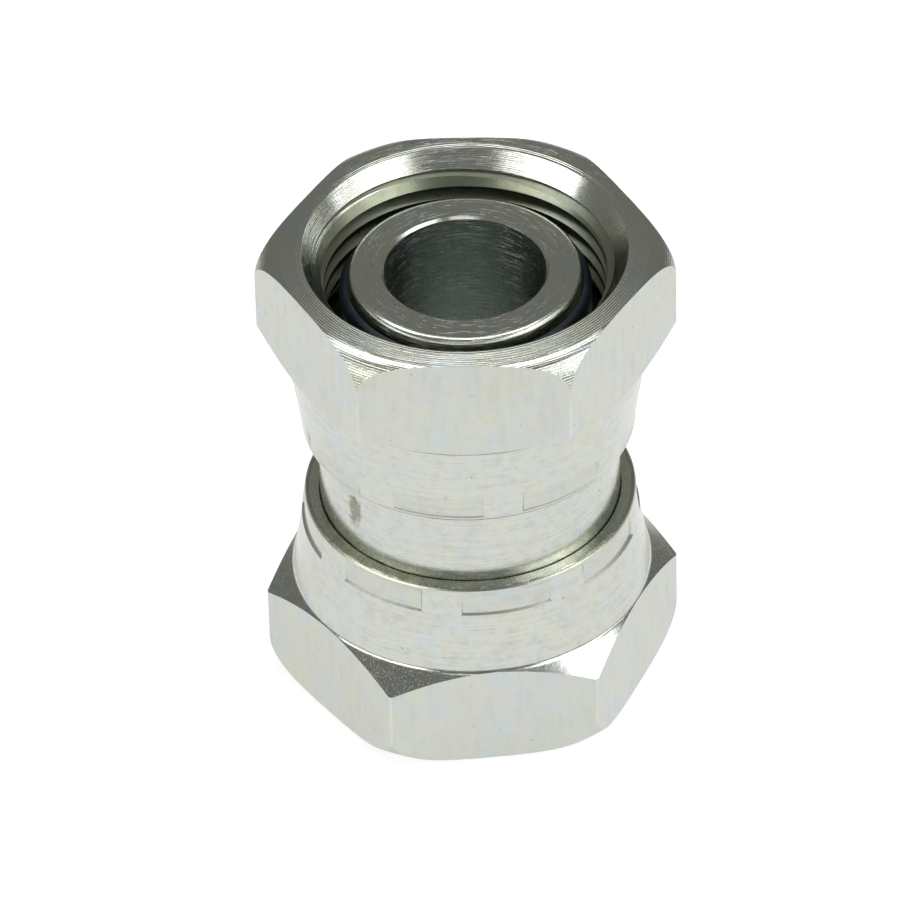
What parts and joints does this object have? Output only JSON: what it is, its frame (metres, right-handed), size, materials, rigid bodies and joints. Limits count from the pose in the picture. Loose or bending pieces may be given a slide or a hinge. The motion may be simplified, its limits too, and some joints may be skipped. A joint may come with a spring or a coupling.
{
  "type": "double swivel hydraulic union",
  "caption": "Straight hydraulic union: a bored spindle with a cone nose and O-ring at both ends, and a crimped hexagon swivel nut turning on each end.",
  "frame": {"origin": "on the axis, in the mouth face of the lower nut, on which the union stands", "axes": "+Z along the flow axis, from the lower nut to the upper nut"},
  "size_m": [0.0414, 0.038, 0.051],
  "materials": {
    "spindle_steel": "turned steel, zinc plated, satin",
    "nut_steel": "turned and milled steel, zinc plated, satin",
    "o_ring_rubber": "moulded rubber, semi-matt"
  },
  "bodies": {
    "spindle": {"spindle": "spindle_steel", "upper_o_ring": "o_ring_rubber", "lower_o_ring": "o_ring_rubber"},
    "upper_nut": {"upper_nut": "nut_steel"},
    "lower_nut": {"lower_nut": "nut_steel"}
  },
  "joints": [
    {"name": "upper_swivel", "type": "hinge", "parent": "spindle", "child": "upper_nut", "pos_m": [0, 0, 0.0345], "axis": [0, 0, 1], "continuous": true},
    {"name": "lower_swivel", "type": "hinge", "parent": "spindle", "child": "lower_nut", "pos_m": [0, 0, 0.0165], "axis": [0, 0, 1], "continuous": true}
  ]
}
